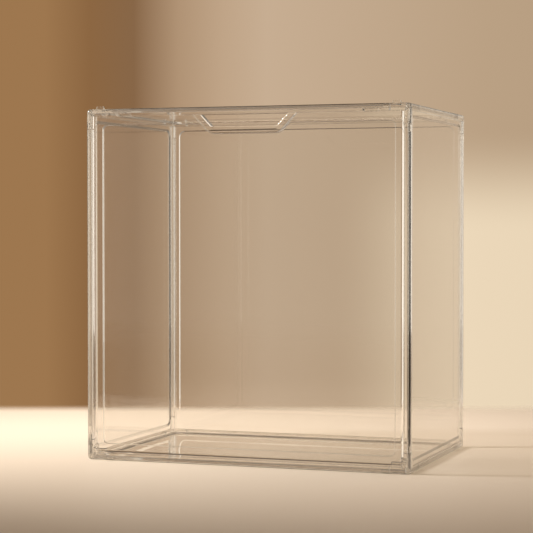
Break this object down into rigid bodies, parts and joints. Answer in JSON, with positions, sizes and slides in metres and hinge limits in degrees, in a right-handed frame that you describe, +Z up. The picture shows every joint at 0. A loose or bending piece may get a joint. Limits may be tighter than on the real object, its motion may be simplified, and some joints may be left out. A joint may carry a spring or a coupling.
{
  "type": "figure display box",
  "caption": "Clear upright display box framed by rounded edge strips and corner connectors, with a front door that swings down from its finger pull to let a figure in.",
  "frame": {"origin": "on the table, under the middle of the box", "axes": "+Z up, +X to the right seen from the front, and the door faces -Y"},
  "size_m": [0.286, 0.19, 0.302],
  "materials": {
    "clear_panel": "clear polished sheet",
    "clear_door": "clear polished moulding",
    "clear_edge": "clear polished moulding",
    "clear_corner": "clear polished moulding",
    "clear_pin": "clear moulded pin"
  },
  "bodies": {
    "case": {"corner_front_left_bottom": "clear_corner", "corner_front_right_bottom": "clear_corner", "corner_back_left_bottom": "clear_corner", "corner_back_right_bottom": "clear_corner", "corner_front_left_top": "clear_corner", "corner_front_right_top": "clear_corner", "corner_back_left_top": "clear_corner", "corner_back_right_top": "clear_corner", "rail_top_front": "clear_edge", "rail_top_back": "clear_edge", "rail_top_left": "clear_edge", "rail_top_right": "clear_edge", "rail_bottom_front": "clear_edge", "rail_bottom_back": "clear_edge", "rail_bottom_left": "clear_edge", "rail_bottom_right": "clear_edge", "post_front_left": "clear_edge", "post_front_right": "clear_edge", "post_back_left": "clear_edge", "post_back_right": "clear_edge", "top_panel": "clear_panel", "floor_panel": "clear_panel", "back_panel": "clear_panel", "left_side_panel": "clear_panel", "right_side_panel": "clear_panel", "hinge_pin_left": "clear_pin", "hinge_pin_right": "clear_pin"},
    "door": {"front_door": "clear_door"}
  },
  "joints": [
    {"name": "door_hinge", "type": "hinge", "parent": "case", "child": "door", "pos_m": [0, -0.09, 0.0086], "axis": [1, 0, 0], "range_deg": [0, 90]}
  ]
}
